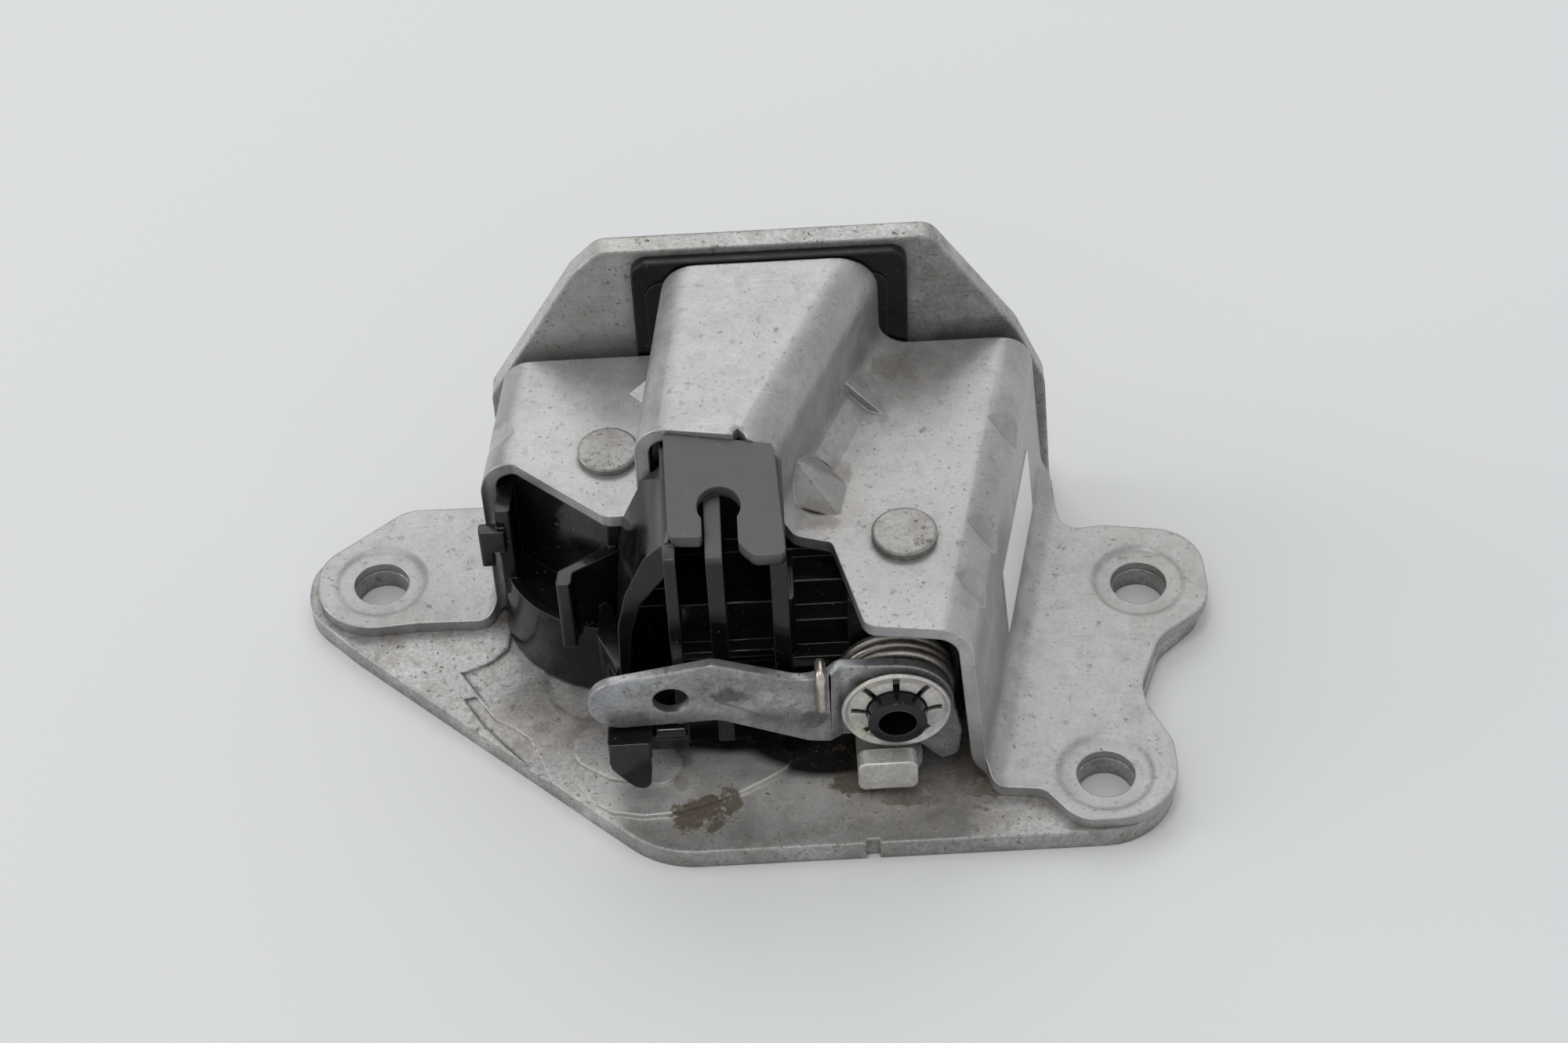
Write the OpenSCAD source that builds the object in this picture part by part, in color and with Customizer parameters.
// Car door lock, lying on its screw face: a stamped base plate with an upright mouth flange, a bent
// cover plate, a moulded housing, a claw and a pawl on riveted pins, and a release lever.
// Millimetres. The origin is the axis of the left screw hole at the underside of the base plate.
// The striker comes in through the flange towards -Y and ends under the housing's tongue.

/* [Base plate] */
// Thickness of the base plate and its flange
base_t = 2.5; // [1.8:0.1:3.2]
// Distance along X from the left screw hole to the far right one
span_x = 89; // [80:1:110]
// Front edge of the base plate, in front of the left hole
front_y = 41.6; // [39:0.2:50]
// Outer face of the flange, behind the left hole
flange_y = 16.5; // [15.5:0.1:20]
// Height of the flange
flange_h = 41.6; // [36:0.2:50]
// Outer radius of the bend between plate and flange
flange_bend_r = 4; // [3:0.1:5]
// Radius of the screw holes in the base plate
screw_r = 3.1; // [2.5:0.05:4]
// Radius of the screw holes in the cover
cover_screw_r = 3.25; // [2.5:0.05:4.2]

/* [Cover plate] */
// Sheet thickness of the cover
cover_t = 1.6; // [1.2:0.1:2]
// Height of the cover's flat top
cover_h = 27; // [25:0.5:34]
// Height of the striker tunnel
tunnel_h = 40.6; // [36:0.2:50]
// Outer bend radius of the tunnel's top edges
tunnel_bend_r = 4; // [2.5:0.1:5]
// Outer bend radius between the top and the side walls
wall_bend_r = 3.6; // [2.5:0.1:4.5]

/* [Claw and pawl] */
// Radius of the claw pin
claw_pin_r = 3.3; // [2.8:0.1:3.8]
// Radius of the pawl pin
pawl_pin_r = 3; // [2.2:0.1:3.4]
// Radial running clearance of claw, pawl sleeve and lever
run_gap = 0.05; // [0.02:0.01:0.09]
// Thickness of the claw and pawl steel
claw_t = 4.2; // [3:0.1:5]
// Height of the claw's underside
claw_z = 15.4; // [14:0.1:16]
// Width of the claw's striker slot
slot_w = 10; // [9:0.1:11]
// Angle the claw turns from latched to open
claw_swing = 60; // [50:1:62]
// Angle the pawl stands out on the claw's rim
pawl_ride = 8; // [7:0.5:10]

/* [Release lever] */
// Sheet thickness of the lever
lever_t = 1.3; // [1:0.1:1.6]
// Height of the lever's pivot above the underside
lever_z = 13.1; // [12.6:0.1:14]
// Radius of the lever's hollow pivot boss
boss_r = 3.25; // [2.9:0.05:3.6]
// Radius of the rod hole in the lever's arm
rod_hole_r = 1.95; // [1.5:0.05:2.4]
// Outer radius of the star washer
washer_r = 6.2; // [5.6:0.05:6.6]
// Radius of the lever spring's wire
lever_wire_r = 0.5; // [0.35:0.05:0.55]

/* [Hidden] */
$fn = 48;
eps = 0.01;
// Steps of each rounded corner
arc_steps = 9;
// Gap between moulded parts and the sheet round them
fit_gap = 0.3;

// What lies to the right moves with the far hole, and what lies in front with the front edge
dx = span_x - 89;
dy = 41.6 - front_y;
flange_in = flange_y - base_t;
back_y = flange_in - 1.8;
top_in = cover_h - cover_t;
ear_z = base_t + cover_t;

far_hole = [span_x, -6.1];
near_hole = [82.2 + dx, -34.4 + dy];
claw_at = [28.6, -3.6];
pawl_at = [61 + dx, -18.6 + dy];
lever_at = [59.2 + dx, lever_z];
slot_angle = -20;
rest_turn = claw_swing;
claw_top = claw_z + claw_t;
skin_t = 0.5;

// Slant of the cover's left side, tunnel side and right side, seen from above
left_slant = 7.3;
tunnel_slant = 24.5;
right_slant = 12.8;
wall_lean = 1.9;

// Planes of the lever, from the front: arm face, hub face and back of the hub
arm_y = -31.8 + dy;
hub_y = arm_y + 1;
wall_y = -25.3 + dy;

function unit(v) = v / norm(v);
function turn(a, b) = a.x * b.y - a.y * b.x;
function xy(v) = [v[0], v[1]];
function polar(r, a) = r * [cos(a), sin(a)];
function arc(r, a, b, n = 10, at = [0, 0]) = [for (k = [0:n]) at + polar(r, a + (b - a) * k / n)];
function reversed(v) = [for (i = [len(v) - 1:-1:0]) v[i]];

// A corner at p between a and b, rounded with radius r
function corner(a, p, b, r) =
    let (u = unit(p - a), w = unit(b - p), s = sign(turn(u, w)), phi = acos(min(1, max(-1, u * w))))
    r <= 0 || abs(turn(u, w)) < 0.001 ? [p]
    : let (c = p - u * r * tan(phi / 2) + s * r * [-u.y, u.x], start = atan2(-s * u.x, s * u.y))
      [for (k = [0:arc_steps]) c + polar(r, start + s * phi * k / arc_steps)];

// A closed outline from corners [x, y, radius]
function rounded(q) =
    let (n = len(q))
    [for (i = [0:n - 1]) each corner(xy(q[(i + n - 1) % n]), xy(q[i]), xy(q[(i + 1) % n]), q[i][2])];

// An open line from corners [x, y, radius]
function traced(q) =
    let (n = len(q))
    [for (i = [0:n - 1])
        each (i == 0 || i == n - 1 ? [xy(q[i])] : corner(xy(q[i - 1]), xy(q[i]), xy(q[i + 1]), q[i][2]))];

// The same line moved d to its left, with its bends kept concentric
function shifted(q, d) =
    let (n = len(q), dir = [for (i = [0:n - 2]) unit(xy(q[i + 1]) - xy(q[i]))],
         side = [for (u = dir) [-u.y, u.x]])
    [for (i = [0:n - 1])
        let (a = side[max(i - 1, 0)], b = side[min(i, n - 2)],
             s = i == 0 || i == n - 1 ? 0 : sign(turn(dir[i - 1], dir[i])),
             p = xy(q[i]) + d * (a + b) / (1 + a * b))
        [p.x, p.y, q[i][2] > 0 ? max(q[i][2] - d * s, 0.1) : 0]];

// Section of a bent sheet: one face given, the other t to its right
function sheet(q, t) = concat(traced(q), reversed(traced(shifted(q, -t))));

// Wire of radius r swept along a path of points
function slid(v, t) = unit(v - (v * t) * t);
module wire(path, r, sides = 6) {
    n = len(path);
    way = [for (i = [0:n - 1]) unit(path[min(i + 1, n - 1)] - path[max(i - 1, 0)])];
    first = slid(abs(way[0].z) > 0.8 ? [1, 0, 0] : [0, 0, 1], way[0]);
    side = [for (i = 0, v = first; i < n; i = i + 1, v = slid(v, way[min(i, n - 1)])) v];
    rings = [for (i = [0:n - 1]) for (k = [0:sides - 1])
        path[i] + r * (cos(360 * k / sides) * side[i] + sin(360 * k / sides) * cross(way[i], side[i]))];
    walls = [for (i = [0:n - 2]) for (k = [0:sides - 1])
        let (a = i * sides + k, b = i * sides + (k + 1) % sides)
        each [[a, b + sides, b], [a, a + sides, b + sides]]];
    polyhedron(rings, concat(walls, [[for (k = [0:sides - 1]) k]],
                             [[for (k = [sides - 1:-1:0]) (n - 1) * sides + k]]));
}

// Plan shape standing between two heights
module slab(points, low, high) {
    translate([0, 0, low]) linear_extrude(high - low) polygon(points);
}

// Shape drawn in X and Z, standing between two depths
module curtain(points, front, back) {
    translate([0, back, 0]) rotate([90, 0, 0]) linear_extrude(back - front) polygon(points);
}

// Outline of the base plate, seen from above
base_outline = [
    [-8.5, 3.6, 6], [0.6, 11.4, 5], [14.4, 11.4, 1], [14.4, flange_y - flange_bend_r, 0],
    [80.6 + dx, flange_y - flange_bend_r, 0], [80.6 + dx, 1.6, 2], [94.2 + dx, 1.4, 5],
    [96.5 + dx, -9.4, 5], [90.4 + dx, -15, 6], [87.4 + dx, -23 + dy / 2, 6],
    [90.1 + dx, -32 + dy, 5], [90.1 + dx, -front_y, 8.5], [32.4, -front_y, 11], [-2.6, -9.4, 8],
    [-8.7, -3, 7]];

// Outline of the flange, seen from the front
flange_outline = [
    [14.4, 0, 0], [14.4, 20.2, 3], [25.2, flange_h - 3.2, 5], [28.4, flange_h, 2.5],
    [66.2 + dx, flange_h, 2.5], [76.2 + dx, flange_h - 15.2, 6], [79.6 + dx, flange_h - 23.6, 6],
    [80.6 + dx, 0, 0]];

// Striker mouth: cut through the base plate from the flange to the striker's last place
mouth_left = 33;
mouth_right = 61.6 + dx;
mouth_top = 38;
striker_at = [42.2, -8.6];
mouth_slot = [
    [mouth_left, flange_y + 1, 0], [mouth_left + 0.4, 6, 6], [striker_at.x - 6, -4, 6],
    [striker_at.x - 5.6, -14.6, 4.8], [striker_at.x + 5.4, -14.6, 4.8], [striker_at.x + 6, -6, 6],
    [mouth_right - 3, 11.4, 5], [mouth_right, flange_y + 1, 0]];

// Outline of the cover, seen from above: left ear, front cut-outs, two right ears, back edge
cover_outline = [
    [-7.4, -7.8, 6.9], [4.6, -6.9, 4], [12.9, -7.1, 2.2], [14.2, -4.3, 0.8], [17.9, -4.3, 1.6],
    [28.2, -13.3, 2], [32.4, -13.3, 0.6], [35, -13.7, 3], [47.3, -15.8, 1],
    [48.9, -17.6 + dy / 2, 1.2], [53 + dx / 2, -18.9 + dy / 2, 1.2], [56 + dx, -31.3 + dy, 2],
    [66.6 + dx, -32.8 + dy, 1], [69 + dx, -33.3 + dy, 0.8], [69.6 + dx, -35.7 + dy, 1.6],
    [75.2 + dx, -36.4 + dy, 2], [78.6 + dx, -41.1 + dy, 4], [90.4 + dx, -41.1 + dy, 7.4],
    [90.2 + dx, -30.6 + dy, 5], [87.1 + dx, -23 + dy / 2, 7], [90.4 + dx, -14.9, 6],
    [97 + dx, -10.2, 5.6], [96.8 + dx, 1.2, 6], [85.8 + dx, 3, 2], [80.9 + dx, 2.6, 2.2],
    [79.8 + dx, back_y, 0.6], [14.2, back_y, 0.6], [13.6, 11.2, 1], [2.6, 11.4, 4.5], [-7.4, 3.4, 5]];

// Screw hole places, left, far and near
screw_holes = [[0, 0], far_hole, near_hole];

module flange() {
    run = [[flange_y - flange_bend_r, 0, 0], [flange_y, 0, flange_bend_r], [flange_y, flange_h + 1, 0]];
    intersection() {
        rotate([90, 0, 90]) linear_extrude(span_x) polygon(reversed(sheet(reversed(run), base_t)));
        curtain(rounded(flange_outline), 0, flange_y + 1);
    }
}

// Shallow press marks of the base plate, seen from above
leaf_mark = [[11.5, -17.3], [13.9, -21], [15.9, -22.3], [17.7, -23.9], [18.9, -26.8], [19.9, -29.2], [20.4, -30.6],
             [19.4, -30.2], [16.3, -26.3], [12.6, -21.7], [10.2, -17.6]];
hook_pad = [[25.7, -22.6, 1.2], [23, -24.2, 2], [23, -28.2, 2.5], [27, -31, 3], [33.4, -32.4, 2], [35.6, -29, 2],
            [34, -26.6, 1], [28.6, -26.4, 1], [28, -22.4, 1]];
raised_field = [[23.6, -26.3], [23, -31], [24.9, -33.8], [27.1, -35.6], [30.6, -36.4], [34, -36.3], [38, -35.1], [41.2, -34],
                [44.2, -32.4], [46.9, -30.6], [47.6, -29.4], [46.6, -27.6], [44, -26.3]];
shrunk_pad = [[25.6, -24], [24.2, -25], [24.2, -28], [27.4, -29.8], [32.6, -31], [34.2, -28.8], [33.4, -27.6], [27.6, -27.4]];
ear_mark = [[16.2, -5.2], [15.4, -7.2], [15.1, -10.2], [13.4, -12], [11.7, -12.9], [9.8, -13.6], [13, -19], [21, -13], [20, -6]];
mark_h = 0.35;

module base_plate() {
    color("#99978f") difference() {
        union() {
            slab(rounded(base_outline), 0, base_t);
            flange();
            translate([0, dy, 0]) {
                slab(rounded(hook_pad), base_t - 1, base_t + 0.6);
                intersection() {
                    slab(raised_field, base_t - 1, base_t + 2);
                    translate([34, -36.4, base_t + 0.5]) rotate([-1.72, -0.91, 0]) translate([-30, -30, -3]) cube([60, 60, 3]);
                }
            }
        }
        slab(leaf_mark, base_t - mark_h, base_t + 1);
        intersection() {
            slab(ear_mark, base_t - 1, base_t + 1);
            translate([13.4, -12, base_t - mark_h]) rotate([-2.4, -2.4, 0]) translate([-20, -20, 0]) cube([40, 40, 3]);
        }
        translate([25.5, -15.5, base_t - mark_h]) cylinder(h = 2, r1 = 5.9, r2 = 8.9);
        translate([0, dy, 0]) slab(shrunk_pad, -1, 0.5);
        slab([[55, -front_y - 1], [56.8, -front_y - 1], [56.6, -front_y + 0.6], [55.2, -front_y + 0.6]], -1, 5);
        slab(rounded(mouth_slot), -1, flange_bend_r + 1);
        curtain(rounded([[mouth_left, -1, 0], [mouth_left, mouth_top, 3], [mouth_right, mouth_top, 3],
                         [mouth_right, -1, 0]]), flange_in - 1, flange_y + 1);
        for (p = screw_holes) translate([p.x, p.y, -1]) cylinder(h = 5, r = screw_r);
        translate([claw_at.x, claw_at.y, -1]) cylinder(h = 5, r = tenon_r(claw_pin_r));
        translate([pawl_at.x, pawl_at.y, -1]) cylinder(h = 5, r = tenon_r(pawl_pin_r));
        translate([62.4 + dx, -35.1 + dy, base_t - mark_h]) cylinder(h = 2, r1 = 2.7, r2 = 6.2);
    }
}

// Riveted ends of a pin are thinner than its running stretch
function tenon_r(r) = r * 0.68;

// Press marks at a screw hole of the cover: a ring pushed down round the hole
ring_depth = 0.45;
module screw_seat(p) {
    translate([p.x, p.y, ear_z - ring_depth]) cylinder(h = ring_depth + eps, r1 = cover_screw_r + 1.4, r2 = cover_screw_r + 2.6);
    translate([p.x, p.y, 0]) cylinder(h = 10, r = cover_screw_r);
}

// The cover's outer face: left side up to the tunnel, tunnel side and right side, each with the
// place and slant it is pulled along
left_from = [13.9, -5];
tunnel_from = [47.7, -14.5];
right_from = [67.2 + dx, -33 + dy];
left_face = [[-60, ear_z, 0], [0, ear_z, 1.4], [0, cover_h, wall_bend_r], [19.1, cover_h, 0.9],
             [19.1, tunnel_h, tunnel_bend_r], [120, tunnel_h, 0]];
tunnel_face = [[-40, tunnel_h, 0], [0, tunnel_h, tunnel_bend_r + 0.6], [0.2, cover_h, 3.4], [120, cover_h, 0]];
right_face = [[-60, cover_h, 0], [0, cover_h, wall_bend_r + 0.4], [wall_lean, ear_z, 3], [120, ear_z, 0]];

// Section pulled along a wall that is slanted in plan
module pulled(points, from, slant) {
    translate([from.x, from.y, 0]) rotate([0, 0, -slant]) rotate([90, 0, 0]) translate([0, 0, -110])
        linear_extrude(220) polygon(points);
}

// What a bent side takes away above and outside its line
function beyond(face, d) =
    let (line = traced(shifted(face, d)), n = len(line), first = line[1] + 0.3 * unit(line[1] - line[2]))
    concat([[first.x, 90], first], [for (i = [1:n - 1]) line[i]], [[120, 90]]);

// Everything below the cover's outer face moved outward by d
module under_face(d) {
    difference() {
        pulled(concat([[-60, -3]], traced(shifted(left_face, d)), [[120, -3]]), left_from, left_slant);
        pulled(beyond(tunnel_face, d), tunnel_from, tunnel_slant);
        pulled(beyond(right_face, d), right_from, right_slant);
    }
}

module in_frame(from, slant) {
    translate([from.x, from.y, 0]) rotate([0, 0, -slant]) children();
}

// V groove whose bottom runs across a bend from a to b, in X and Z; flare is its half width per depth
module dart(y, a, b, flare) {
    way = b - a;
    open = -3 * sign(way.x);
    translate([a.x, y, a.y]) rotate([0, atan2(way.x, way.y), 0]) translate([0, 0, -2])
        linear_extrude(norm(way) + 4) polygon([[0, 0], [open, -3 * flare], [open, 3 * flare]]);
}

// Darts pressed into the cover's two long bends, by their places along the bend
right_darts = [8.1, 16.4, 32.6];
left_dart = 6.2;

// Solid between two three-cornered ends, each given as its inner, outer and top corner
module gusset(a, b) {
    polyhedron(concat(a, b), [[0, 2, 1], [3, 4, 5], [0, 1, 4], [0, 4, 3], [1, 2, 5], [1, 5, 4], [0, 3, 5], [0, 5, 2]]);
}

// Stiffening gussets in the inside bends at the tunnel's feet, with a flat strip between the two on the right
module tunnel_gussets() {
    z = cover_h;
    in_frame(tunnel_from, tunnel_slant) {
        polyhedron([[-0.3, 9.3, z + 1.5], [-0.5, 5, z + 4.5], [-0.3, 1, z + 1], [5.6, 6.8, z - 0.35],
                    [6.6, 2.1, z - 0.35], [0.6, 5, z + 0.3]], [[0, 3, 1], [1, 3, 4], [1, 4, 2], [0, 1, 5], [1, 2, 5], [5, 3, 0], [5, 4, 3], [5, 2, 4]]);
        gusset([[0.7, 8.6, z + 0.35], [3.5, 8.6, z - 0.35], [0.4, 8.6, z + 1.8]],
               [[0.7, 18.9, z + 0.35], [3.5, 18.9, z - 0.35], [0.4, 18.9, z + 1.8]]);
        gusset([[0.6, 18.6, z + 0.4], [5.4, 18.7, z - 0.5], [-0.6, 18.9, z + 3.8]],
               [[0.6, 25.8, z + 0.4], [2.6, 25.2, z - 0.5], [-0.6, 25.8, z + 1.6]]);
    }
    in_frame(left_from, left_slant)
        polyhedron([[15.3, 13.2, z - 0.3], [19.8, 9.2, z - 0.5], [19.8, 17.2, z - 0.5], [19.8, 13.2, z + 4.4]],
                   [[0, 3, 1], [0, 2, 3], [1, 3, 2], [0, 1, 2]]);
}

module cover_plate() {
    color("#b3b1ad") difference() {
        intersection() {
            union() {
                under_face(0);
                tunnel_gussets();
            }
            slab(rounded(cover_outline), 0, 100);
        }
        under_face(-cover_t);
        for (y = right_darts) in_frame(right_from, right_slant) dart(y, [-3, cover_h], [0.35, cover_h - 5], 1.85);
        in_frame(left_from, left_slant) dart(left_dart, [3.3, cover_h], [0, cover_h - 3.6], 2.9);
        slab([[42.7, -17], [44.5, -17], [44.3, -15], [43.5, -14.1], [43, -14.6]], tunnel_h - cover_t - 1, tunnel_h + 1);
        for (p = screw_holes) screw_seat(p);
        translate([claw_at.x, claw_at.y, top_in - 2]) cylinder(h = cover_t + 4, r = tenon_r(claw_pin_r));
        translate([pawl_at.x, pawl_at.y, top_in - 2]) cylinder(h = cover_t + 4, r = tenon_r(pawl_pin_r));
    }
}

// Stepped rivet pin with its head on the cover
module rivet_pin(p, r, head_r) {
    translate([p.x, p.y, 0]) {
        translate([0, 0, base_t]) cylinder(h = top_in - base_t, r = r);
        translate([0, 0, 0.2]) cylinder(h = cover_h - 0.2, r = tenon_r(r));
        translate([0, 0, cover_h]) cylinder(h = 0.8, r = head_r);
        translate([0, 0, cover_h + 0.8]) cylinder(h = 0.2, r1 = head_r, r2 = head_r - 0.3);
    }
}

module claw_pin() {
    color("#a9a7a2") rivet_pin(claw_at, claw_pin_r, 3.45);
}

module pawl_pin() {
    color("#a9a7a2") rivet_pin(pawl_at, pawl_pin_r, 3.6);
}

// Plan of the claw as latched, about its pin: front leg, back leg with its tooth, and hub
tooth_r = 20;
claw_hub_r = 5.8;
claw_plan = concat(
    [polar(claw_hub_r, -80)], arc(18, -56, -41, 3), [polar(16.8, -36)], arc(tooth_r, -9, 9, 4),
    [[17.6, 1.64], polar(17, 11)], arc(17, 20, 54, 6), arc(claw_hub_r, 96, 262, 14));
slot_at = polar(14.4, slot_angle);

module claw_slot(w) {
    reach = 12 * polar(1, slot_angle);
    round_end = arc(w / 2, slot_angle + 90, slot_angle + 270, 16, slot_at);
    polygon(concat(round_end, [round_end[16] + reach, round_end[0] + reach]));
}

module claw_turned() {
    translate([claw_at.x, claw_at.y, 0]) rotate([0, 0, rest_turn]) children();
}

module claw_steel() {
    translate([0, 0, claw_z]) linear_extrude(claw_t) difference() {
        polygon(claw_plan);
        claw_slot(slot_w);
        circle(r = claw_pin_r + run_gap);
    }
}

module claw() {
    color("#8d8b86") claw_turned() claw_steel();
}

// Plastic skin over the claw's faces and rim, bare at the tooth and in the slot
module claw_cover() {
    leg = concat([polar(claw_hub_r + 0.3, -84)], arc(16.6, -52, -36, 3), [polar(11, -36)],
                 [polar(11, 8)], arc(15.6, 16, 54, 5), arc(claw_hub_r + 0.3, 96, 262, 14));
    color("#26262a") claw_turned() difference() {
        translate([0, 0, claw_z - skin_t]) linear_extrude(claw_t + 2 * skin_t) polygon(leg);
        claw_steel();
        linear_extrude(40) {
            claw_slot(slot_w);
            circle(r = claw_pin_r + 0.4);
        }
    }
}

// Plan of the pawl as engaged, in the object's own place
pawl_arm = traced([
    [55.3, -15.2, 0], [51.8, -6, 5], [50.3, 1, 0.5], [46.25, -1.75, 0.2], [45.8, 0.9, 0], [45.4, 2.6, 0.8], [47.2, 5.2, 1.5],
    [52.6, 4.6, 3], [59.6, -6.4, 8], [65.9, -14.8, 0]]);
pawl_hub_r = 5.6;
sleeve_r = 3.9;

// The pawl is drawn engaged and turned out until it stands on the claw's rim
module pawl_turned() {
    translate([pawl_at.x, pawl_at.y, 0]) rotate([0, 0, -pawl_ride]) translate([-61, 18.6, 0]) children();
}

module pawl_steel() {
    translate([0, 0, claw_z]) linear_extrude(claw_t) difference() {
        polygon(concat(pawl_arm, arc(pawl_hub_r, 10, -200, 16, [61, -18.6])));
        translate([61, -18.6]) circle(r = sleeve_r);
    }
}

module pawl() {
    color("#8d8b86") pawl_turned() pawl_steel();
}

module pawl_cover() {
    color("#26262a") pawl_turned() difference() {
        translate([0, 0, claw_z - skin_t]) linear_extrude(claw_t + 2 * skin_t)
            polygon(rounded([[54, -8, 2], [53, 1, 3], [60.3, -6.2, 6], [65.4, -12.8, 2], [60, -12, 3], [56.4, -13.6, 2]]));
        pawl_steel();
    }
}

module pawl_sleeve() {
    color("#8f8d88") translate([pawl_at.x, pawl_at.y, pawl_lever_z]) difference() {
        cylinder(h = claw_top - pawl_lever_z, r = sleeve_r);
        translate([0, 0, -1]) cylinder(h = 40, r = pawl_pin_r + run_gap);
    }
}

// Lever pressed on the sleeve's foot, with its end bent up in front of the star washer
pawl_lever_z = base_t + 1.2;
pawl_lever_t = 1.8;
module pawl_lever() {
    tail_y = -34.9 + dy;
    x0 = 54.7 + dx;
    x1 = 61.3 + dx;
    color("#c2c0b6") difference() {
        union() {
            slab(concat(traced([[x0 + 0.4, pawl_at.y - 1.2, 0], [x0, -27 + dy, 4], [x0, tail_y, 0.8], [x1, tail_y, 0.8],
                                [x1, -32.6 + dy, 0.5], [x1 + 0.7, -31.4 + dy, 0.8], [x1 + 0.7, -26.8 + dy, 1],
                                [pawl_at.x + 5, pawl_at.y - 4, 0]]), arc(5.9, -20, 180, 12, pawl_at)),
                 pawl_lever_z, pawl_lever_z + pawl_lever_t);
            curtain(rounded([[x0, pawl_lever_z, 1.1], [x1, pawl_lever_z, 0.9], [x1, 8, 1], [x0, 8, 1]]),
                    tail_y, tail_y + 2.2);
        }
        translate([pawl_at.x, pawl_at.y, 0]) cylinder(h = 20, r = sleeve_r);
    }
}

// Coil about Z: turns of wire, with a leg at each end
function coil(r, low, pitch, from, sweep, n) =
    [for (k = [0:n]) let (a = from + sweep * k / n) [r * cos(a), r * sin(a), low + pitch * abs(sweep) / 360 * k / n]];

module claw_spring() {
    r = 7.4;
    wire_r = 0.75;
    turns = coil(r, base_t + 1.7 + wire_r, 1.62, -30, 930, 62);
    end = turns[len(turns) - 1];
    color("#a09b92") translate([claw_at.x, claw_at.y, 0])
        wire(concat([[turns[0].x - 0.7, turns[0].y - 1.2, turns[0].z]], turns, [[end.x + 0.9, end.y + 1.1, end.z]]), wire_r);
}

module pawl_spring() {
    r = 4.6;
    wire_r = 0.5;
    turns = coil(r, claw_top + skin_t + 0.3 + wire_r, 1.08, -40, 1000, 66);
    end = turns[len(turns) - 1];
    color("#a09b92") translate([pawl_at.x, pawl_at.y, 0])
        wire(concat([[turns[0].x - 0.4, turns[0].y - 0.9, turns[0].z]], turns,
                    [[end.x - 0.7, end.y + 0.6, end.z]]), wire_r);
}

// Release lever: arm, step back to the hub, and a foot bent forward to the pawl lever
lever_hub_r = 6.4;
lever_plan = [
    [25.6, 12.5, 3.6], [39.7 + dx / 2, 13.2, 4], [49.6 + dx, 8.8, 4], [59.2 + dx, 8, 0],
    [59.2 + dx, 19.6, 0], [52.6 + dx, 19.9, 4], [48.8 + dx, 18.9, 4], [39.4 + dx / 2, 22.3, 2.5], [25.6, 19.5, 3.4]];

module lever_blank() {
    px = lever_at.x;
    pz = lever_at.y;
    low = arm_y - 2;
    high = hub_y + lever_t + 1;
    difference() {
        union() {
            curtain(rounded(lever_plan), low, high);
            curtain(rounded([[px, pz - 5, 0], [px + 2, pz - 6.2, 1], [px + 5, 3.4, 0.6], [px + 6.9, 4.1, 1.4],
                             [px + 7.3, pz - 5, 2], [px + 6.3, pz, 0]]), low, high);
            translate([px, high, pz]) rotate([90, 0, 0]) cylinder(h = high - low, r = lever_hub_r);
        }
        translate([px, 0, pz]) rotate([90, 0, 0]) cylinder(h = 60, r = boss_r + run_gap);
        translate([34.6, 0, 16.8]) rotate([90, 0, 0]) cylinder(h = 60, r = rod_hole_r);
    }
}

module release_lever() {
    step_x = lever_at.x - 6.6;
    plan = [[20, arm_y, 0], [step_x - 0.7, arm_y, 0.8], [step_x + 0.7, hub_y, 0.8], [80 + dx, hub_y, 0]];
    bead = [[40.8 + dx / 2, 17.8], [49.6 + dx, 12.9]];
    color("#8e8c89") union() {
        intersection() {
            lever_blank();
            slab(reversed(sheet(reversed(plan), lever_t)), -10, 60);
        }
        hull() for (p = bead) translate([p.x, arm_y + 0.1, p.y]) rotate([90, 0, 0]) cylinder(h = 0.5, r1 = 1.9, r2 = 1.3, $fn = 20);
    }
}

// Spring wound round the boss behind the lever: one end hooks over the lever's arm
module lever_spring() {
    r = 6.2;
    px = lever_at.x;
    pz = lever_at.y;
    back = wall_y - lever_wire_r - 0.1;
    front = hub_y + lever_t + lever_wire_r + 0.1;
    n = 54;
    turns = [for (k = [0:n]) let (a = 20 + 870 * k / n) [px + r * cos(a), back + (front - back) * k / n, pz + r * sin(a)]];
    over = arm_y - lever_wire_r - 0.1;
    ridge = 20.4 + lever_wire_r + 0.3;
    hook = [[px - 6.9, front, pz + 2.4], [px - 7.9, front - 0.1, pz + 5.6], [px - 8.2, front - 0.3, ridge - 0.5],
            [px - 8.2, front - 1, ridge], [px - 8.2, over + 0.8, ridge], [px - 8.2, over + 0.2, ridge - 0.4],
            [px - 8.2, over, ridge - 1.2], [px - 8.2, over, 15.3]];
    color("#a39e94") wire(concat([[px + 5.8, back, pz + 0.4]], turns, hook), lever_wire_r);
}

// Push-on washer with slots that leave gripping teeth
module star_washer() {
    slots = 8;
    web = washer_r - boss_r;
    color("#c9c9bf") translate([lever_at.x, hub_y - 0.05, lever_at.y]) rotate([90, 0, 0]) difference() {
        rotate_extrude($fn = 64) polygon(sheet([[boss_r + 0.02, 0.4, 0], [boss_r + 0.4 * web, 0.1, 0.6], [washer_r - 0.25 * web, 0.1, 0.5],
                                       [washer_r - 0.1, 0.75, 0]], -0.45));
        for (k = [0:slots - 1]) rotate([0, 0, 90 + 360 * k / slots]) translate([boss_r - 1, -0.36, -1]) cube([1 + 0.58 * web, 0.72, 4]);
    }
}

// Walls of the striker channel, seen from above, inside the cover's tunnel
channel = [[36.1, -13.4, 1.5], [46.2, -13.6, 1.5], [47.4, -9.4, 3], [55.2 + dx, back_y - 0.2, 0], [39.4, back_y - 0.2, 0]];

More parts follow.
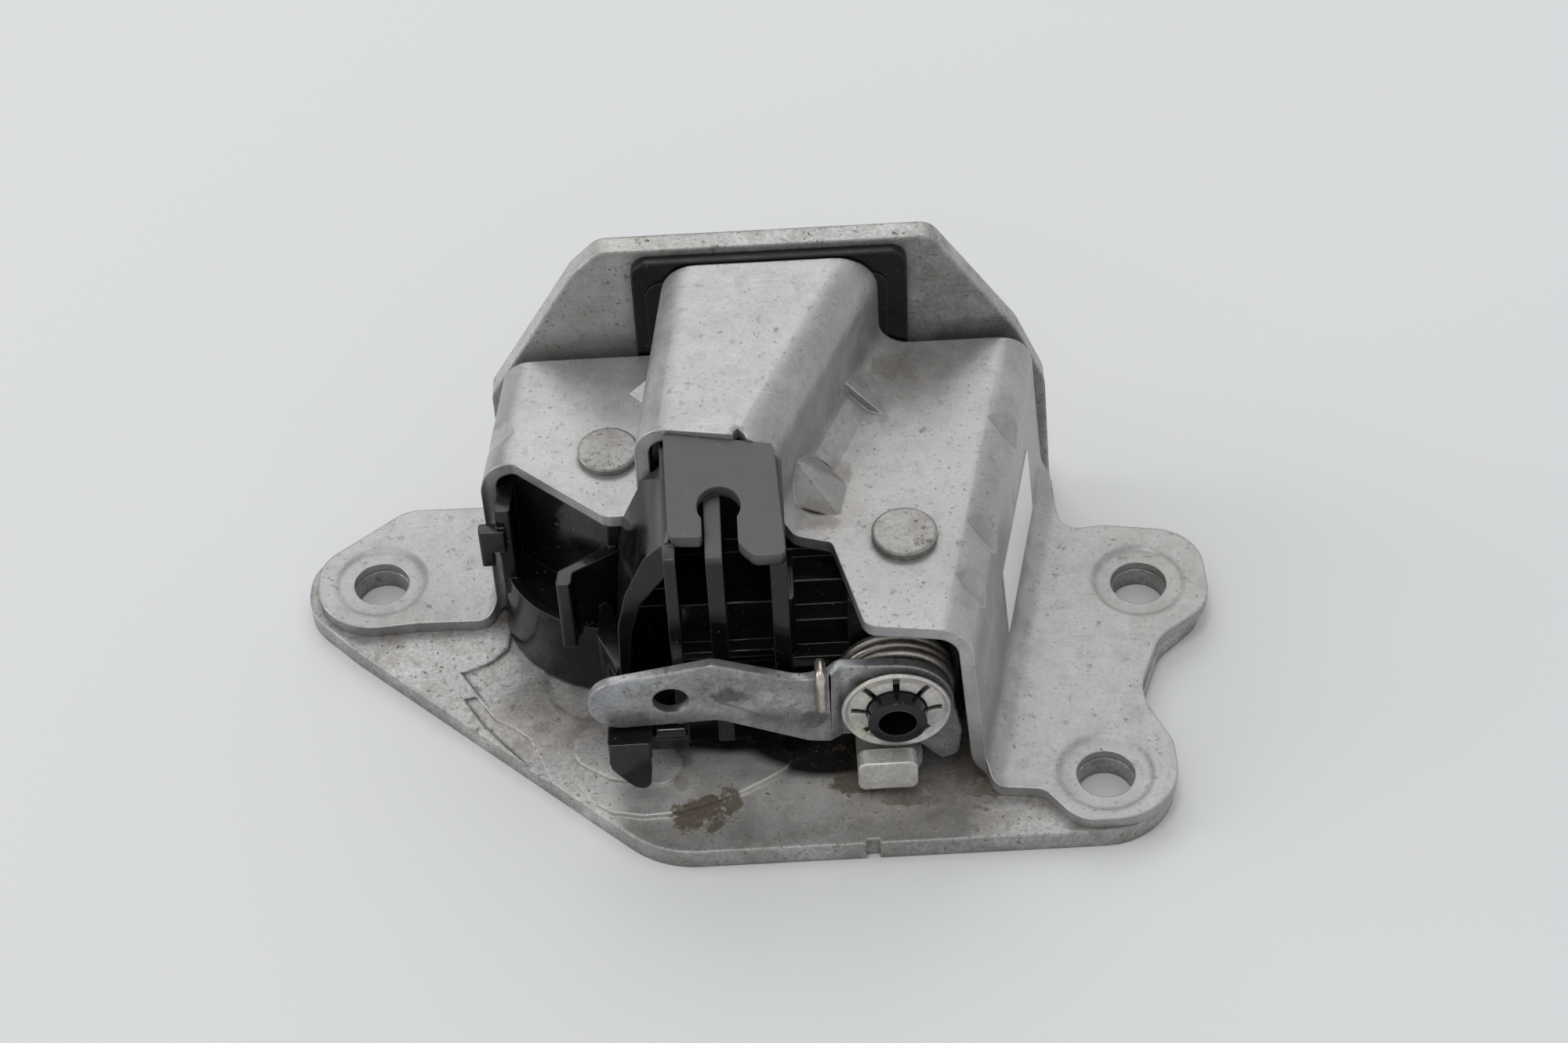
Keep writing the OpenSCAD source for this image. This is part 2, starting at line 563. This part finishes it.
// Room the claw sweeps from latched to open, and the pawl from engaged to released
claw_room = concat([polar(claw_hub_r + 0.7, -84)], arc(18.6, -59, -19, 5), arc(tooth_r + 0.6, -18, 10 + claw_swing, 10),
    arc(17.6, 13 + claw_swing, 57 + claw_swing, 5), arc(claw_hub_r + 0.7, 94 + claw_swing, 276, 12));
pawl_room = [[44, -6, 0], [46, 9.4, 2], [59, 9.4, 3], [68.4, -8, 3], [68, -21, 4],
             [63, -24.6, 3], [58.5, -24.6, 3], [54.4, -21, 4], [50.6, -8, 3]];

// Lower drum round the claw spring, with its closed floor inside a low rim
drum_h = 12.4;
module drum() {
    translate([claw_at.x, claw_at.y, base_t]) difference() {
        cylinder(h = drum_h - base_t, r1 = 13.9, r2 = 13.3);
        translate([0, 0, drum_h - base_t - 0.8]) cylinder(h = 2, r = 12.3);
    }
}

// Part under the cover: it follows the cut-outs and steps back below the right one
module housing_core() {
    plan = [[17.9, -3.9], [28.3, -12.9], [34.9, -12.9], [34.9, wall_y], [50.2 + dx / 2, wall_y], [66.6 + dx, wall_y],
            [68.4 + dx, -20 + dy], [76 + dx, back_y - 0.3], [18.6, back_y - 0.3], [16.2, -0.6]];
    steps = [[wall_y, base_t, 15.5], [wall_y + 2, 15, 19.4], [wall_y + 4.4, 19, 23.2], [wall_y + 8, 23, top_in - 0.8],
             [-13.1, 24, 60]];
    intersection() {
        slab(plan, base_t, 60);
        union() {
            for (s = steps) slab([[-10, s[0]], [120, s[0]], [120, 60], [-10, 60]], s[1], s[2]);
            slab([[54.4 + dx, -40], [120, -40], [120, 60], [54.4 + dx, 60]], 0, top_in - 0.8);
        }
    }
}

// Posts, rib and thin wall in front of the left cut-out
module left_posts() {
    slab(rounded([[13.4, -9, 0.3], [16.4, -9, 0.3], [17, -0.6, 0], [16.2, -0.6, 0], [15.9, -7.5, 0], [13.4, -7.5, 0.3]]), 17.6, 20.8);
    slab(rounded([[13.4, -9, 0.3], [14.9, -9, 0.2], [14.9, -7.5, 0.2], [13.4, -7.5, 0.3]]), 15.4, 18);
    slab(rounded([[15.4, -8.2, 0.3], [17.2, -8.2, 0.3], [17.6, -0.6, 0.3], [16.2, -0.6, 0.3]]), 9.8, 23.4);
    slab(rounded([[22.3, -18.4, 0.4], [24, -18.4, 0.4], [24.2, -16.6, 0.4], [29.4, -13.6, 0.4], [28.6, -12.4, 0.4], [22.6, -16.2, 0.4]]), 11.4, 21.8);
    slab(rounded([[26.4, -19.6, 0.4], [28.6, -24.6, 0.4], [29.6, -24.4, 0.4], [28, -15, 0.4], [26.8, -14.4, 0.4]]), base_t + 1, 14.6);
}

// Sloping tongue in front of the tunnel, with a keyhole, on three ribs
tongue_tilt = 13.5;
tongue_t = 2;
tongue_back = -14.2;
tongue_z = tunnel_h - 0.6;
module tongue_plate() {
    translate([0, tongue_back, tongue_z]) rotate([tongue_tilt, 0, 0]) translate([0, 0, -tongue_t]) linear_extrude(tongue_t)
        difference() {
            polygon(rounded([[35.4, 0.2, 0.3], [35.6, -12.6, 0.8], [39.2, -12.8, 0.4], [39.2, -9, 0], [43, -9, 0], [43, -13.6, 1.4],
                             [44.6, -15.4, 1.4], [48, -15.4, 0.8], [47.3, -2.4, 1.5], [46, 0.2, 1]]));
            translate([41.1, -9]) circle(r = 2.35);
        }
}

module middle_block() {
    low = 5;
    slope = tan(tongue_tilt);
    top = tongue_z - tongue_t;
    rib_y = wall_y - 2.6;
    slab(rounded([[34.4, -14, 0.5], [34.6, wall_y + 0.5, 1], [48.6, wall_y + 0.5, 0.6], [48.6, -13, 0.5]]), base_t, 24.5);
    tongue_plate();
    for (x = [[34.9, 36.2], [39.4, 41.2], [46.2, 48]])
        curtain_side([[wall_y + 1, low], [rib_y, low], [rib_y, top - slope * (tongue_back - rib_y) + 0.4],
                      [tongue_back - 0.2, top + 0.4], [tongue_back + 1.8, 24], [wall_y + 1, 24]], x[0], x[1]);
    slab([[34.9, -15.4], [47.4, -15.4], [47.4, -13], [34.9, -13]], 24, tunnel_h - cover_t - 0.9);
    for (z = [8.4, 13, 17.4]) slab([[35, wall_y - 1.2], [48, wall_y - 1.2], [48, wall_y + 1], [35, wall_y + 1]], z, z + 1.1);
    for (z = [7.2, 11.6]) slab([[48, wall_y - 1.2], [52 + dx, wall_y - 1.2], [52 + dx, wall_y + 1], [48, wall_y + 1]], z, z + 1.1);
    curtain([[35.6, 36.2], [32.7, 33.2], [30.4, 27.9], [29.3, 22.9], [29, 16], [29, base_t], [30.1, base_t], [30.1, 16],
             [30.6, 21.4], [31.9, 26.2], [35.6, 31.4]], wall_y - 0.7, -14);
}

// Shape drawn in Y and Z, standing between two places along X
module curtain_side(points, left, right) {
    translate([left, 0, 0]) rotate([90, 0, 90]) linear_extrude(right - left) polygon(points);
}

// Hollow boss that carries the lever, with a stop for the lever's arm
stop_z = 12.4;
module lever_mount() {
    translate([lever_at.x, wall_y, lever_at.y]) rotate([90, 0, 0]) {
        translate([0, 0, -1]) cylinder(h = wall_y + 1 - hub_y - lever_t - 0.15, r = 5);
        translate([0, 0, -1]) cylinder(h = wall_y + 1 - hub_y + 2.7, r = boss_r);
    }
    slab(rounded([[27.4, -34 + dy, 0.4], [32.2, -34 + dy, 0.4], [32.2, -15, 0], [27.4, -15, 0]]), stop_z - 2.4, stop_z);
    curtain([[27.7, stop_z - 0.2], [27.4, 9.6], [27.6, 8.4], [28.4, 7.2], [29.3, 5.9], [30, 5.1], [30.8, 4.8], [31.4, 5], [31.8, 5.7],
             [32, 8], [32, stop_z - 0.2]], -34 + dy, -32.6 + dy);
    slab([[30.2, -29 + dy], [36, -29 + dy], [36, wall_y + 1], [30.2, wall_y + 1]], 5.4, 7.6);
    translate([32.6, -28.6 + dy, 7.8]) rotate([0, 90, 0]) cylinder(h = 3.2, r = 0.9);
}

module housing() {
    px = lever_at.x;
    level = claw_z - skin_t - 0.5;
    color("#1f1f22") difference() {
        union() {
            drum();
            housing_core();
            left_posts();
            middle_block();
            lever_mount();
        }
        difference() {
            slab(rounded(cover_outline), 0, 100);
            under_face(-cover_t - fit_gap);
        }
        slab(rounded(channel), -1, tunnel_h - cover_t - 1.6);
        translate([claw_at.x, claw_at.y, base_t + 1.4]) cylinder(h = 6.6, r = 9);
        translate([claw_at.x, claw_at.y, 0]) {
            slab(claw_room, level, claw_top + skin_t + 0.5);
            cylinder(h = 40, r = claw_pin_r + 0.1);
        }
        translate([dx, dy, 0]) slab(rounded(pawl_room), level, claw_top + skin_t + 0.5);
        translate([pawl_at.x, pawl_at.y, claw_top]) cylinder(h = cover_h, r = 5.9);
        translate([pawl_at.x, pawl_at.y, 0]) cylinder(h = claw_z, r = sleeve_r + 0.4);
        slab(concat([[52.2 + dx, -40 + dy], [62.4 + dx, -40 + dy], [62.5 + dx, -27.4 + dy]], arc(7.1, -36, 186, 14, pawl_at),
                    [[52.2 + dx, -27 + dy]]), 0, pawl_lever_z + pawl_lever_t + 0.4);
        translate([px, wall_y - 1, lever_at.y]) rotate([90, 0, 0]) cylinder(h = 20, r = boss_r - 1.15);
        for (b = buffers) slab(b[0], b[1], b[2]);
    }
}

// Rubber blocks, each in a pocket of the housing: plan, low and high
striker_block = [[37.2, -15], [45.4, -15], [45.4, -13.3], [37.2, -13.3]];
claw_block = [[21.4, -2.4], [22.3, -2.4], [22.3, 3.4], [19.4, 6.4], [18.6, 3]];
pawl_block = [[67 + dx, -7], [70.6 + dx, -6.2], [71.4 + dx, -1], [64 + dx, -0.6]];
buffers = [[striker_block, 24, 35], [claw_block, claw_z - 0.6, claw_top + 0.6], [pawl_block, claw_z - 0.6, claw_top + 0.6]];

module striker_buffer() {
    color("#313134") slab(striker_block, buffers[0][1], buffers[0][2]);
}

module claw_buffer() {
    color("#313134") slab(claw_block, buffers[1][1], buffers[1][2]);
}

module pawl_buffer() {
    color("#313134") slab(pawl_block, buffers[2][1], buffers[2][2]);
}

// Frame round the striker window, clipped to the flange's inner face and lining the opening
module mouth_frame() {
    lip = 1.1;
    left = 32;
    right = mouth_right + 1.8;
    high = mouth_top + 2.8;
    foot_z = base_t + flange_bend_r - base_t + 0.3;
    color("#1d1d20") difference() {
        union() {
            curtain(rounded([[left, foot_z, 0], [left, high, 2], [right, high, 2], [right, foot_z, 0]]), back_y + 0.3, flange_in);
            curtain(rounded([[mouth_left + 0.1, base_t, 0], [mouth_left + 0.1, mouth_top - 0.1, 2.9],
                             [mouth_right - 0.1, mouth_top - 0.1, 2.9], [mouth_right - 0.1, base_t, 0]]), flange_in - eps, flange_y + 0.4);
        }
        curtain(rounded([[mouth_left + lip, -1, 0], [mouth_left + lip, mouth_top - lip, 2],
                         [mouth_right - lip, mouth_top - lip, 2], [mouth_right - lip, -1, 0]]), 0, 40);
        translate([30, 10, claw_z - 0.8]) cube([8, flange_in - 8.2, claw_t + 1.6]);
    }
}

// Plain sticker on the right wall
module label() {
    from = right_from;
    low = ear_z + 2.7;
    color("#e9e9e6") translate([from.x, from.y, 0]) rotate([0, 0, -right_slant])
        translate([wall_lean * (cover_h - low) / (cover_h - ear_z) + 0.02, 18.2, low])
        rotate([0, -atan(wall_lean / (cover_h - ear_z)), 0]) cube([0.15, 20, 9.8]);
}

base_plate();
cover_plate();
housing();
mouth_frame();
striker_buffer();
claw();
claw_cover();
claw_pin();
claw_spring();
claw_buffer();
pawl();
pawl_cover();
pawl_sleeve();
pawl_lever();
pawl_pin();
pawl_spring();
pawl_buffer();
release_lever();
lever_spring();
star_washer();
label();
